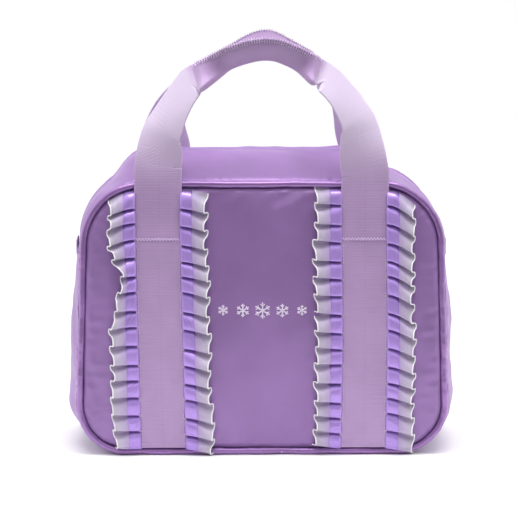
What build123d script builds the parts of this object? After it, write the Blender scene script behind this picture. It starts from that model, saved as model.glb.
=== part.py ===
from build123d import *

import math
import os

# A lilac satin skate bag: two padded panels, piping, a lower gusset, a zipped top, webbing handles, ruffles.
# X runs across the bag, Y from front to back, Z up. The origin is the middle of the base it stands on.
# Each node is written to parts/NODE.step. All sizes are in millimetres.

os.makedirs("parts", exist_ok=True)

# Body outline, seen from the front
BASE_HALF_WIDTH = 191.5  # where the side lines would meet the base
TOP_HALF_WIDTH = 183.0  # where they would meet the top
BODY_HEIGHT = 282.0
TOP_CORNER_R = 66.0
BASE_CORNER_R = 51.0
ZIP_END_Z = 207.0  # the zipped top ends and the lower gusset begins here, on each side

# Depth
PIPING_Y = 80.0  # piping centre, in front of and behind the middle
PANEL_Y = 83.0  # outer face of each panel
GUSSET_Y = 76.5  # edge of the gussets

# Layers, and the gap that keeps separate pieces clear of each other
SHELL_T = 1.0
FOAM_T = 4.0
TOP_FOAM_T = 3.0
LINING_T = 0.8
GAP = 0.1
BOARD_T = 2.0
BOARD_HALF_Y = 73.0
BOARD_CORNER_R = 12.0
BOARD_END_GAP = 2.0  # the board stops this far short of the curved corners

# Piping
PIPING_R = 3.25
CORD_R = 2.2
PIPING_INSET = PIPING_R + 0.2
PANEL_INSET = 2 * PIPING_R + 0.2
BINDING_INSETS = (8.2, 14.0)  # the bound seam allowance lies between these two
BINDING_T = 2.6

# Domed top with the zip along its ridge
RIDGE_Z = 308.0
TOP_EDGE_DROP = 1.0  # the dome's edge lies this far inside the outline
SIDE_RIDGE_R = 70.0  # ridge distance from the corner's centre, at the side
SHOULDER_DEG = 34.0  # the ridge comes down to that distance over this much of the corner
DOME_HALF_Y = 76.3
FLAP_HALF_X = 104.0
STRIP_T = 5.0
STRIP_EDGE_Y = 9.0  # edge of the fabric beside the zip
FLAP_END_GAP = 0.3
CORNER_STEPS = 16

# Zip
TAPE_TOP, TAPE_BOTTOM = 1.2, 2.2  # depths below the dome's surface
TAPE_HIDDEN_Y = 21.5
TAPE_EDGE_Y = 3.6
COIL_TOP, COIL_BOTTOM = 0.4, 2.6
COIL_IN_Y, COIL_OUT_Y = 0.7, 3.5
TAB_HALF_Y = 14.0
TAB_BELOW, TAB_ABOVE = 11.0, 8.0  # how far the end tab reaches below and above the zip's end
TAB_OUT, TAB_T = 5.4, 1.6  # its inner face lies this far outside the outline
SLIDER_LENGTH = 14.0
SLIDER_HALF_Y = 5.5
SLIDER_PLATE_T = 1.2
SLIDER_PLATE_LOW = (-0.1, -4.1)  # undersides of the two plates, measured from the ridge
SLIDER_CORNER_R = 3.0
PULL_HALF_Y = 4.2
PULL_T = 1.4
PULL_LENGTH = 30.0
PULL_ARM = 7.0
PULL_RISE = 2.5  # height of the pull's crossbar above the ridge
SLIDER_X = -(FLAP_HALF_X + 0.5 + SLIDER_LENGTH / 2)

# Webbing straps and handles
WEB_W = 48.0
WEB_T = 2.0
STRAP_X = 104.5  # centre line of each strap
STRAP_Y = 83.6  # back face of the webbing
STRAP_LOW_Z = 8.0
HINGE_Z = 223.2  # row of stitching where the handle leaves the panel
THREAD_R = 0.5
LEAN_Z = 292.0  # above this the handle leans back over the bag
LEAN_DEG = 3.0
HANDLE_Z = 428.0  # top of the grip
GRIP_LOW_Z = 410.0  # its folded lower edge
GRIP_HALF_X = 52.0

# Ruffles beside the front straps
RUFFLE_LOW_Z = 8.5
OUTER_RUFFLE_Z, INNER_RUFFLE_Z = 260.0, 273.5  # tops of the ruffles outside and between the straps
PLEAT = 19.0
PLEAT_RISE = 8.0
SATIN_W, ORGANZA_W, EDGE_W = 12.2, 12.0, 1.4
SATIN_T, ORGANZA_T, EDGE_T = 0.6, 0.45, 1.3

# Row of snowflakes across the front
FLAKE_SIZES = (11, 14, 17, 14, 11)
FLAKE_STEP = 20.0
FLAKE_Z = 151.0
FLAKE_T = 0.8

side_tilt = math.atan((BASE_HALF_WIDTH - TOP_HALF_WIDTH) / BODY_HEIGHT)
corner_z = BODY_HEIGHT - TOP_CORNER_R
side_x = TOP_HALF_WIDTH + TOP_CORNER_R * math.tan(side_tilt)
corner_x = side_x - TOP_CORNER_R / math.cos(side_tilt)


# ---------------------------------------------------------------- helpers


def write(name, shape):
    """Writes one node."""
    export_step(shape, f"parts/{name}.step")


def outline(inset):
    """The bag's front outline as a flat sketch in X and Z, moved inwards by inset."""
    b, t, h = BASE_HALF_WIDTH, TOP_HALF_WIDTH, BODY_HEIGHT
    face = make_face(Polyline((-b, 0), (b, 0), (t, h), (-t, h), close=True))
    low = [v for v in face.vertices() if v.Y < h / 2]
    sketch = fillet(low, BASE_CORNER_R)
    high = [v for v in sketch.vertices() if v.Y > h - 1]
    sketch = fillet(high, TOP_CORNER_R)
    return offset(sketch, amount=-inset) if inset else sketch


def upright(sketch, y_low, y_high):
    """A front-view sketch given thickness from y_low to y_high."""
    solid = extrude(Plane.XZ * sketch, amount=y_high - y_low, dir=(0, 1, 0))
    return Pos(0, y_low, 0) * solid


def block(x0, x1, y0, y1, z0, z1):
    """A box between two corners."""
    centre = ((x0 + x1) / 2, (y0 + y1) / 2, (z0 + z1) / 2)
    return Pos(*centre) * Box(x1 - x0, y1 - y0, z1 - z0)


def at_back(shape):
    """The same shape on the back of the bag."""
    return mirror(shape, about=Plane.XZ)


def at_right(shape):
    """The same shape on the other side of the bag."""
    return mirror(shape, about=Plane.YZ)


# ---------------------------------------------------------------- panels, gusset and base


def panel_layers():
    """Outer satin, foam and lining of the front panel."""
    y = -PANEL_Y
    layers = {}
    for name, thick in (("shell", SHELL_T), ("foam", FOAM_T), ("lining", LINING_T)):
        layers[name] = upright(outline(PANEL_INSET), y, y + thick)
        y += thick + GAP
    return layers


def lower_gusset_layers():
    """Outer satin, foam and lining of the strip round the base and up both sides."""
    layers, inset = {}, 0.0
    above = block(-250, 250, -100, 100, ZIP_END_Z - 0.2, 400)
    for name, thick in (("shell", SHELL_T), ("foam", FOAM_T), ("lining", LINING_T)):
        ring = outline(inset) - outline(inset + thick)
        layers[name] = upright(ring, -GUSSET_Y, GUSSET_Y) - above
        inset += thick + GAP
    return layers, inset


def base_board(floor_z):
    """The stiff sheet that keeps the base flat."""
    length = 2 * (BASE_HALF_WIDTH - BASE_CORNER_R - BOARD_END_GAP)
    board = RectangleRounded(length, 2 * BOARD_HALF_Y, BOARD_CORNER_R)
    return Pos(0, 0, floor_z) * extrude(board, amount=BOARD_T)


def seam_binding():
    """The bound seam allowance inside the front seam."""
    ring = outline(BINDING_INSETS[0]) - outline(BINDING_INSETS[1])
    y_low = -PANEL_Y + SHELL_T + FOAM_T + LINING_T + 3 * GAP
    return upright(ring, y_low, y_low + BINDING_T)


def piping():
    """The piping's satin cover and the cord inside it, round the front panel."""
    path = (Plane.XZ * outline(PIPING_INSET)).wire()
    path = path.moved(Location((0, -PIPING_Y, 0)))
    start = Plane(origin=path @ 0, z_dir=path % 0)
    full = sweep(start * Circle(PIPING_R), path=path)
    bore = sweep(start * Circle(CORD_R + GAP), path=path)
    cord = sweep(start * Circle(CORD_R), path=path)
    return full - bore, cord


# ---------------------------------------------------------------- zipped top


def ridge_r(angle):
    """Distance of the zip's ridge from the corner's centre, at an angle from straight up."""
    t = min(math.degrees(angle) / SHOULDER_DEG, 1)
    return SIDE_RIDGE_R + (RIDGE_Z - corner_z - SIDE_RIDGE_R) * (1 - 3 * t**2 + 2 * t**3)


def dome_section(angle, y0, y1, d0, d1):
    """Part of the dome's cross-section: from y0 to y1, and from depth d0 to d1 below its surface.

    It is drawn in Y and in the distance from the corner's centre."""
    rise = ridge_r(angle) - (TOP_CORNER_R - TOP_EDGE_DROP)
    arc_r = (DOME_HALF_Y**2 + rise**2) / (2 * rise)
    centre = ridge_r(angle) - arc_r

    def at(y, depth):
        return (y, centre + math.sqrt((arc_r - depth) ** 2 - y**2))

    middle = (y0 + y1) / 2
    outer = ThreePointArc(at(y0, d0), at(middle, d0), at(y1, d0))
    inner = ThreePointArc(at(y1, d1), at(middle, d1), at(y0, d1))
    ends = Line(at(y1, d0), at(y1, d1)), Line(at(y0, d1), at(y0, d0))
    return make_face([outer, ends[0], inner, ends[1]])


def section_plane(angle, along=0.0):
    """The plane of the right-hand corner's cross-section at an angle from straight up."""
    tangent = Vector(math.cos(angle), 0, -math.sin(angle))
    origin = Vector(corner_x, 0, corner_z) + tangent * along
    return Plane(origin=origin, x_dir=(0, 1, 0), z_dir=tangent)


def flap_band(y0, y1, d0, d1):
    """A layer of the straight top, as long as the flap."""
    plane = Plane(origin=(-FLAP_HALF_X, 0, corner_z), x_dir=(0, 1, 0), z_dir=(1, 0, 0))
    return extrude(plane * dome_section(0, y0, y1, d0, d1), amount=2 * FLAP_HALF_X)


def corner_band(y0, y1, d0, d1):
    """The same layer from the flap's right end, round the corner and down to the zip's end."""
    side_angle = math.pi / 2 - side_tilt
    start = -(corner_x - FLAP_HALF_X - FLAP_END_GAP)
    arc_end_z = corner_z + TOP_CORNER_R * math.sin(side_tilt)
    run_down = (arc_end_z - ZIP_END_Z - 0.2) / math.cos(side_tilt)
    straight = section_plane(0, start) * dome_section(0, y0, y1, d0, d1)
    angles = [side_angle * i / CORNER_STEPS for i in range(CORNER_STEPS + 1)]
    bend = [section_plane(angle) * dome_section(angle, y0, y1, d0, d1) for angle in angles]
    down = extrude(bend[-1], amount=run_down, dir=section_plane(side_angle).z_dir)
    along = extrude(straight, amount=-start, dir=(1, 0, 0))
    return along + loft(bend, ruled=True) + down


def end_tab():
    """The fabric tab that covers the zip's end on the right side."""
    x = side_x + (corner_z - ZIP_END_Z) * math.tan(side_tilt) + TAB_OUT
    tab = block(x, x + TAB_T, -TAB_HALF_Y, TAB_HALF_Y, ZIP_END_Z - TAB_BELOW, ZIP_END_Z + TAB_ABOVE)
    return fillet(tab.edges().filter_by(Axis.X), 3)


def slider_plate(low_z):
    """One of the slider's two rounded plates."""
    half = SLIDER_LENGTH / 2
    y, x0, x1 = SLIDER_HALF_Y, SLIDER_X - half, SLIDER_X + half
    plate = block(x0, x1, -y, y, low_z, low_z + SLIDER_PLATE_T)
    return fillet(plate.edges().filter_by(Axis.Z), SLIDER_CORNER_R)


def zip_slider():
    """The slider: two plates joined by a post between the coils, and a bridge for the pull."""
    x, z, half = SLIDER_X, RIDGE_Z, SLIDER_LENGTH / 2
    top, low = [slider_plate(z + height) for height in SLIDER_PLATE_LOW]
    body = top + low + block(x + half - 6, x + half - 2, -0.5, 0.5, z - 3.5, z + 0.5)
    for side in (-1, 1):
        y0, y1 = sorted((side * (SLIDER_HALF_Y - SLIDER_PLATE_T), side * SLIDER_HALF_Y))
        x0, x1 = x - half + SLIDER_CORNER_R, x + half - SLIDER_CORNER_R
        body += block(x0, x1, y0, y1, z - 1.0, z + 0.5)
        body += block(x0, x1, y0, y1, z - 3.5, z - 2.7)
    arch = block(x - 4.4, x + 4.4, -1.4, 1.4, z + 0.9, z + 5.0)
    arch = fillet(arch.edges().filter_by(Axis.Y).group_by(Axis.Z)[-1], 2.2)
    arch -= block(x - 2.4, x + 2.4, -2, 2, z + 1.1, z + 3.9)
    return body + arch


def zip_pull():
    """The pull: a crossbar through the bridge, two arms and a flat tab that lies along the zip."""
    x, z, half = SLIDER_X, RIDGE_Z + PULL_RISE, PULL_T / 2
    pull = Pos(x, 0, z) * Rot(90, 0, 0) * Cylinder(0.8, 2 * PULL_HALF_Y - 0.8)
    for side in (-1, 1):
        y0, y1 = sorted((side * 1.8, side * 3.8))
        pull += block(x, x + PULL_ARM, y0, y1, z - half, z + half)
    x0, x1 = x + PULL_ARM - PULL_T, x + PULL_LENGTH
    tab = block(x0, x1, -PULL_HALF_Y, PULL_HALF_Y, z - half, z + half)
    tab = fillet(tab.edges().filter_by(Axis.Z), 2.4)
    hole = Pos(x + PULL_LENGTH - 4.5, 0, z) * Cylinder(1.8, 4)
    return pull + tab - hole


# ---------------------------------------------------------------- straps, handles and ruffles


def sewn_strap():
    """The left front strap, from the bottom seam up to the row of stitching."""
    left, right = -STRAP_X - WEB_W / 2, -STRAP_X + WEB_W / 2
    return block(left, right, -STRAP_Y - WEB_T, -STRAP_Y, STRAP_LOW_Z, HINGE_Z - 0.8)


def stitch_rows():
    """The two rows of thread that the front handle turns about."""
    row = Rot(0, 90, 0) * Cylinder(THREAD_R, WEB_W - 2)
    places = [Pos(side * STRAP_X, -STRAP_Y - WEB_T - 0.1, HINGE_Z) for side in (-1, 1)]
    return Compound([place * row for place in places])


def handle_outline():
    """The free part of the handle seen from the front, and its folded grip."""
    out, inn = STRAP_X + WEB_W / 2, STRAP_X - WEB_W / 2
    foot = HINGE_Z + 0.8
    outer_points = (-out, LEAN_Z), (-119, 339), (-97, 372), (-78, 395), (-40, 417), (0, HANDLE_Z)
    inner_points = (-inn, LEAN_Z), (-77, 345), (-67, 367), (-46, 385), (-30, 400), (0, GRIP_LOW_Z)
    outer = Spline(*outer_points, tangents=((0, 1), (1, 0)))
    inner = Spline(*inner_points, tangents=((0, 1), (1, 0)))
    corners = outer_points[0], (-out, foot), (-inn, foot), inner_points[0]
    leg = [Line(corners[i], corners[i + 1]) for i in range(3)]
    half = make_face([outer, *leg, inner, Line(inner_points[-1], outer_points[-1])])
    return half + mirror(half, about=Plane.YZ)


def handle():
    """The front handle: webbing up to the grip, where it is folded in two."""
    sketch = handle_outline()
    grip_zone = block(-GRIP_HALF_X, GRIP_HALF_X, -120, 0, LEAN_Z, 500)
    flat = upright(sketch, -STRAP_Y - WEB_T, -STRAP_Y)
    fold = upright(sketch, -STRAP_Y - WEB_T, -STRAP_Y + WEB_T + 0.4) & grip_zone
    legs = flat - block(-200, 200, -120, 0, LEAN_Z, 500)
    loop = flat - block(-200, 200, -120, 0, 0, LEAN_Z) - grip_zone
    pivot = Pos(0, -STRAP_Y - WEB_T, LEAN_Z)
    lean = pivot * Rot(-LEAN_DEG, 0, 0) * pivot.inverse()
    return legs + lean * (loop + fold)


def pleats(x0, x1, thick, z_high):
    """A pleated strip: a chain of arcs in Y and Z, given a width from x0 to x1."""
    count = int((z_high - RUFFLE_LOW_Z) / (PLEAT / 2))
    step = (z_high - RUFFLE_LOW_Z) / count
    rise = PLEAT_RISE / 2
    arc_r = ((step / 2) ** 2 + rise**2) / (2 * rise)
    slope = math.asin(step / 2 / arc_r)
    mid_y = -PANEL_Y - 0.5 - EDGE_T / 2 - rise

    def edge(offset_by):
        """The wave, moved sideways by half the cloth's thickness."""
        arcs = []
        for i in range(count):
            way = -1 if i % 2 == 0 else 1
            low, high = RUFFLE_LOW_Z + i * step, RUFFLE_LOW_Z + (i + 1) * step
            bulge = rise + way * offset_by
            lean_y, lean_z = offset_by * math.cos(slope), offset_by * math.sin(slope)
            arcs.append(
                ThreePointArc(
                    (mid_y + lean_y, low + way * -lean_z),
                    (mid_y + way * bulge, (low + high) / 2),
                    (mid_y + lean_y, high + way * lean_z),
                )
            )
        return arcs

    one, two = edge(thick / 2), edge(-thick / 2)
    caps = Line(one[0] @ 0, two[0] @ 0), Line(one[-1] @ 1, two[-1] @ 1)
    face = make_face([*one, *two, *caps])
    plane = Plane(origin=(x0, 0, 0), x_dir=(0, 1, 0), z_dir=(1, 0, 0))
    return extrude(plane * face, amount=x1 - x0)


def ruffle(edge_x, way, z_high):
    """Satin, sheer border and corded edge of the ruffle beside a strap's edge, on one side."""
    bands, x = {}, edge_x + way * 0.35
    for name, width, thick in (
        ("satin", SATIN_W, SATIN_T),
        ("organza", ORGANZA_W, ORGANZA_T),
        ("edge", EDGE_W, EDGE_T),
    ):
        x0, x1 = sorted((x, x + way * width))
        bands[name] = pleats(x0, x1, thick, z_high)
        x += way * (width + GAP)
    return bands


# ---------------------------------------------------------------- embroidery


def snowflake(x, z, size):
    """One embroidered snowflake: three crossed bars and a chevron on each arm."""
    flake = Sketch()
    for i in range(6):
        arm = Pos(0, size / 4) * Rectangle(0.9, size / 2)
        tips = [
            Pos(side * size * 0.09, size * 0.36) * Rot(0, 0, -side * 50) * Rectangle(0.8, size * 0.24)
            for side in (-1, 1)
        ]
        flake += Rot(0, 0, 60 * i) * (arm + tips[0] + tips[1])
    return Pos(x, z) * flake


def embroidery():
    """A row of five snowflakes across the middle of the front panel."""
    row = [snowflake(FLAKE_STEP * (i - 2), FLAKE_Z, size) for i, size in enumerate(FLAKE_SIZES)]
    y = -PANEL_Y - GAP
    return Compound([upright(flake, y - FLAKE_T, y) for flake in row])


# ---------------------------------------------------------------- writing


def write_body():
    """Panels, gusset, base, piping and bindings."""
    for name, layer in panel_layers().items():
        write(f"front_panel_{name}", layer)
        write(f"back_panel_{name}", at_back(layer))
    layers, floor_z = lower_gusset_layers()
    for name, layer in layers.items():
        write(f"lower_gusset_{name}", layer)
    write("base_board", base_board(floor_z))
    cover, cord = piping()
    binding = seam_binding()
    for face, place in (("front", lambda s: s), ("back", at_back)):
        write(f"{face}_piping_cover", place(cover))
        write(f"{face}_piping_cord", place(cord))
        write(f"{face}_seam_binding", place(binding))


def write_top():
    """The two flaps, the fixed corners beside them, the zip, its slider and its pull."""
    foam_top = SHELL_T + GAP
    flap = {
        "shell": flap_band(-DOME_HALF_Y, -STRIP_EDGE_Y, 0, SHELL_T),
        "foam": flap_band(-DOME_HALF_Y, -TAPE_HIDDEN_Y - 0.5, foam_top, foam_top + TOP_FOAM_T),
        "lining": flap_band(-DOME_HALF_Y, -STRIP_EDGE_Y, STRIP_T - LINING_T, STRIP_T),
        "zip_tape": flap_band(-TAPE_HIDDEN_Y, -TAPE_EDGE_Y, TAPE_TOP, TAPE_BOTTOM),
        "zip_coil": flap_band(-COIL_OUT_Y, -COIL_IN_Y, COIL_TOP, COIL_BOTTOM),
    }
    for name, layer in flap.items():
        write(f"front_flap_{name}", layer)
        write(f"back_flap_{name}", at_back(layer))
    strip = corner_band(-DOME_HALF_Y, -STRIP_EDGE_Y, 0, STRIP_T)
    tape = corner_band(-STRIP_EDGE_Y + 0.2, -TAPE_EDGE_Y, TAPE_TOP, TAPE_BOTTOM)
    coil = corner_band(-COIL_OUT_Y, -COIL_IN_Y, COIL_TOP, COIL_BOTTOM)
    tab = end_tab()
    for side, place in (("right", lambda s: s), ("left", at_right)):
        write(f"zip_corner_front_{side}", place(strip))
        write(f"zip_corner_back_{side}", place(at_back(strip)))
        write(f"zip_tape_{side}", Compound([place(tape), place(at_back(tape))]))
        write(f"zip_coil_{side}", Compound([place(coil), place(at_back(coil))]))
        write(f"zip_end_tab_{side}", place(tab))
    write("zip_slider", zip_slider())
    write("zip_pull", zip_pull())


def write_straps():
    """Sewn straps, handles, their stitching, the ruffles and the embroidery."""
    strap, rows, loop = sewn_strap(), stitch_rows(), handle()
    write("front_handle", loop)
    write("back_handle", Rot(0, 0, 180) * loop)
    for face, place in (("front", lambda s: s), ("back", at_back)):
        write(f"{face}_strap_left", place(strap))
        write(f"{face}_strap_right", place(at_right(strap)))
        write(f"{face}_handle_stitching", place(rows))
    outer_x, inner_x = STRAP_X + WEB_W / 2, STRAP_X - WEB_W / 2
    outer = ruffle(-outer_x, -1, OUTER_RUFFLE_Z)
    inner = ruffle(-inner_x, 1, INNER_RUFFLE_Z)
    for name in outer:
        write(f"ruffle_outer_left_{name}", outer[name])
        write(f"ruffle_outer_right_{name}", at_right(outer[name]))
        write(f"ruffle_inner_left_{name}", inner[name])
        write(f"ruffle_inner_right_{name}", at_right(inner[name]))
    write("embroidery", embroidery())


write_body()
write_top()
write_straps()
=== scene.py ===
"""Looks of the lilac satin skate bag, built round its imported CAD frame. Lengths are in metres."""

import math

import bmesh
import bpy
import numpy as np
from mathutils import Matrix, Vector


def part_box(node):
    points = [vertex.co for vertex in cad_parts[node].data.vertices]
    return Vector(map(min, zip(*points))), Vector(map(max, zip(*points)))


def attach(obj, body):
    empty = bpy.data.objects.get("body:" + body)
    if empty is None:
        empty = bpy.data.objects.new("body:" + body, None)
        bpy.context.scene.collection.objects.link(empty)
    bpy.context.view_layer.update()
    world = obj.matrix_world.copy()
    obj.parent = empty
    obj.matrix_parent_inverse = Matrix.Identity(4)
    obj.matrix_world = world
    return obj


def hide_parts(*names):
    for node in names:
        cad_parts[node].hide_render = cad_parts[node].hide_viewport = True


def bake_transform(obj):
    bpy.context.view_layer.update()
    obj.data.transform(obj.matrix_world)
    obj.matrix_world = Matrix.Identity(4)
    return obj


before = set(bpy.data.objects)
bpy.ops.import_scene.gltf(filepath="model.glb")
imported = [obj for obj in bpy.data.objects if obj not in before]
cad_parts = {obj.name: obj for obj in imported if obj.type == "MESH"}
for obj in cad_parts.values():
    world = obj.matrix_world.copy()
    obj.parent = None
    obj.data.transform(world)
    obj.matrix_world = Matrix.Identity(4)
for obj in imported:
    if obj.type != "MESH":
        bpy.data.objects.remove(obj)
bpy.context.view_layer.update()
MM = 0.001

# ---- sizes

# The front outline is a trapezoid with rounded corners
base_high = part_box("lower_gusset_shell")[1]
BASE_HALF = 191.5 * MM
TOP_HALF = 183.0 * MM
BODY_TOP = 282.0 * MM
TOP_R = 66.0 * MM
BASE_R = 51.0 * MM
TILT = math.atan((BASE_HALF - TOP_HALF) / BODY_TOP)
TOP_CENTRE = (
    (BASE_HALF * math.cos(TILT) - TOP_R - (BODY_TOP - TOP_R) * math.sin(TILT)) / math.cos(TILT),
    BODY_TOP - TOP_R,
)
BASE_CENTRE = (BASE_HALF - BASE_R * (1 + math.sin(TILT)) / math.cos(TILT), BASE_R)

# Depth, measured outwards from the middle of the bag
GUSSET_OUT = base_high.y
PANEL_OUT = -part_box("front_panel_shell")[0].y
PIPING_LOW, PIPING_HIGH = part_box("front_piping_cover")
PIPING_OUT = -(PIPING_LOW.y + PIPING_HIGH.y) / 2
PIPING_R = (PIPING_HIGH.y - PIPING_LOW.y) / 2
PIPING_INSET = PIPING_R + 0.2 * MM
PANEL_INSET = 2 * PIPING_R + 0.2 * MM
LINING_OUT = -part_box("front_panel_lining")[1].y

# Top
FLAP_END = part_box("front_flap_shell")[1].x
ZIP_END_Z = base_high.z + 0.2 * MM
STRIP_EDGE = 9.0 * MM
STRIP_THICK = 4.2 * MM
DOME_EDGE = 76.3 * MM
DOME_LOW_R = TOP_R - 1.0 * MM  # the dome's edge, from the corner's centre
RIDGE_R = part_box("front_flap_shell")[1].z - TOP_CENTRE[1]
SIDE_RIDGE_R = 70.0 * MM
SUNK_RIDGE_R = 59.0 * MM  # the right shoulder has slumped

# Webbing
WEB_HALF = 24.0 * MM
WEB_THICK = 1.7 * MM
STRAP_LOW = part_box("front_strap_left")[0].z
HINGE_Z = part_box("front_strap_left")[1].z + 0.8 * MM
STRAP_X = 104.5 * MM  # the back straps' centre lines, which the front ones nearly follow

# Ruffles
RUFFLE_W = 26.0 * MM
SATIN_SHARE = 0.47

# Studio: strengths of the sky in front and overhead, and each light's place, size and power
WORLD_FRONT = 0.09
WORLD_BEHIND = 1.02
WORLD_TOP = 1.32
LIGHTS = (
    ("top", (0.0, -0.32, 1.75), (1.5, 0.5), 19.0),
    ("left", (-1.6, -0.30, 0.7), (0.4, 1.0), 3.6),
    ("right", (1.6, -0.30, 0.7), (0.4, 1.0), 3.0),
)
LIGHTS_AIM = (0, 0, 0.18)
FLOOR_HALF = 30.0
FLOOR_DARK_Y, FLOOR_PALE_Y = -0.62, -0.37  # painted shade: out of sight in front the floor is painted dark grey in place of a dark room, to darken the satin's reflections
CAMERA_AZIMUTH, CAMERA_ELEVATION = math.radians(-0.8), math.radians(8.0)
CAMERA_AWAY = 2.6
CAMERA_AIM = (-0.0045, -PANEL_OUT, 0.2035)
VIEW_WIDTH = 0.5225


# ---- small helpers


def smooth(t):
    """An eased step from 0 to 1."""
    t = np.clip(t, 0, 1)
    return t * t * (3 - 2 * t)


def ripple(a, b, size, seed, waves=7):
    """Smooth random waves over a plane, about 1 high, with crests about size apart."""
    rng = np.random.default_rng(seed)
    total = np.zeros(np.broadcast(a, b).shape)
    for _ in range(waves):
        way, phase = rng.uniform(0, 2 * math.pi, 2)
        step = 2 * math.pi / (size * rng.uniform(0.7, 1.5))
        total = total + np.sin(step * (a * math.cos(way) + b * math.sin(way)) + phase)
    return total / math.sqrt(waves) * 1.2


def srgb(r, g, b):
    """A colour given as 0 to 255 on a screen, in linear light."""
    screen = np.array((r, g, b)) / 255
    linear = np.where(screen < 11 / 255, screen / 12.92, ((screen + 0.055) / 1.055) ** 2.4)
    return (*linear.tolist(), 1)


def link(name, mesh):
    obj = bpy.data.objects.new(name, mesh)
    bpy.context.scene.collection.objects.link(obj)
    return obj


def new_mesh(name, verts, faces, uvs, material):
    """A smooth-shaded mesh from points, faces and a UV for each point."""
    mesh = bpy.data.meshes.new(name)
    mesh.from_pydata(np.asarray(verts).tolist(), [], faces)
    mesh.polygons.foreach_set("use_smooth", [True] * len(mesh.polygons))
    if uvs is not None:
        layer = mesh.uv_layers.new(name="UVMap")
        corner = np.zeros(len(mesh.loops), np.int32)
        mesh.loops.foreach_get("vertex_index", corner)
        layer.data.foreach_set("uv", np.asarray(uvs, np.float32)[corner].ravel())
    mesh.materials.append(material)
    return mesh


def mesh_piece(name, verts, faces, uvs, material):
    """An object whose faces are turned outwards."""
    mesh = new_mesh(name, verts, np.asarray(faces).tolist(), uvs, material)
    work = bmesh.new()
    work.from_mesh(mesh)
    bmesh.ops.recalc_face_normals(work, faces=work.faces)
    work.to_mesh(mesh)
    work.free()
    return link(name, mesh)


def register(piece, body, slot, *nodes):
    """Says which body a piece rides on, and hides the CAD nodes that it stands for; slot, its finish, is not
    used.
    """
    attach(piece, body)
    if nodes:
        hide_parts(*nodes)


def grid_faces(rows, cols, loop_rows=False, loop_cols=False, first=0):
    """Quads over a grid of points, joined round where a direction loops."""
    r = np.arange(rows if loop_rows else rows - 1)
    c = np.arange(cols if loop_cols else cols - 1)
    i, j = np.meshgrid(r, c, indexing="ij")
    i2, j2 = (i + 1) % rows, (j + 1) % cols
    quad = np.stack([i * cols + j, i2 * cols + j, i2 * cols + j2, i * cols + j2], axis=-1)
    return quad.reshape(-1, 4) + first


def grid_normals(points):
    """Unit normals of a grid of points."""
    n = np.cross(np.gradient(points, axis=0), np.gradient(points, axis=1))
    return n / np.maximum(np.linalg.norm(n, axis=-1, keepdims=True), 1e-12)


def shell(name, outer, inner, uvs, material):
    """A closed piece between two grids of the same size: the first faces outwards."""
    rows, cols = outer.shape[:2]
    n = rows * cols
    index = np.arange(n).reshape(rows, cols)
    faces = [grid_faces(rows, cols), grid_faces(rows, cols, first=n)[:, ::-1]]
    for line, flip in ((index[:, 0], False), (index[:, -1], True), (index[0], True), (index[-1], False)):
        quad = np.stack([line[:-1], line[1:], line[1:] + n, line[:-1] + n], axis=1)
        faces.append(quad[:, ::-1] if flip else quad)
    verts = np.concatenate([outer.reshape(-1, 3), inner.reshape(-1, 3)])
    both = np.concatenate([uvs.reshape(-1, 2)] * 2)
    piece = mesh_piece(name, verts, np.concatenate(faces), both, material)
    crisp_ends(piece, np.concatenate([index[0], index[-1]]), 2 * n)
    return piece


def crisp_ends(piece, line, total):
    """Keeps the shading of a piece's end rows from rolling over its cut ends."""
    on_end = np.zeros(total, bool)
    on_end[line] = True
    on_end[line + total // 2] = True
    pairs = np.zeros(len(piece.data.edges) * 2, np.int32)
    piece.data.edges.foreach_get("vertices", pairs)
    sharp = on_end[pairs.reshape(-1, 2)].all(axis=1)
    piece.data.attributes.new("sharp_edge", "BOOLEAN", "EDGE").data.foreach_set("value", sharp)


def cloth_sheet(name, points, thick, uvs, material):
    """A thin closed sheet round a grid of points."""
    n = grid_normals(points) * thick / 2
    return shell(name, points + n, points - n, uvs, material)


def tube_piece(name, path, radius, material, sides=6, closed=False, squash=1.0):
    """A round bar along a path; radius may vary along it."""
    path = np.asarray(path, float)
    along = np.roll(path, -1, 0) - np.roll(path, 1, 0) if closed else np.gradient(path, axis=0)
    along /= np.linalg.norm(along, axis=1, keepdims=True)
    side = np.cross(along, (0.0, 1.0, 0.0))
    weak = np.linalg.norm(side, axis=1) < 0.05
    side[weak] = np.cross(along[weak], (0.3, 0.2, 0.9))
    side /= np.linalg.norm(side, axis=1, keepdims=True)
    other = np.cross(side, along)
    radius = np.broadcast_to(np.asarray(radius, float), (len(path),))
    turn = np.arange(sides) * 2 * math.pi / sides
    ring = side[:, None] * np.cos(turn)[None, :, None] + squash * other[:, None] * np.sin(turn)[None, :, None]
    points = path[:, None] + ring * radius[:, None, None]
    faces = grid_faces(len(path), sides, closed, True)[:, ::-1].tolist()
    step = np.linalg.norm(np.diff(path, axis=0, prepend=path[:1]), axis=1).cumsum()
    uvs = np.stack(np.broadcast_arrays(step[:, None], turn[None] * radius[:, None]), axis=-1)
    if not closed:
        faces += [list(range(sides)), list(range((len(path) - 1) * sides, len(path) * sides))[::-1]]
    return link(name, new_mesh(name, points.reshape(-1, 3), faces, uvs.reshape(-1, 2), material))


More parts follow.
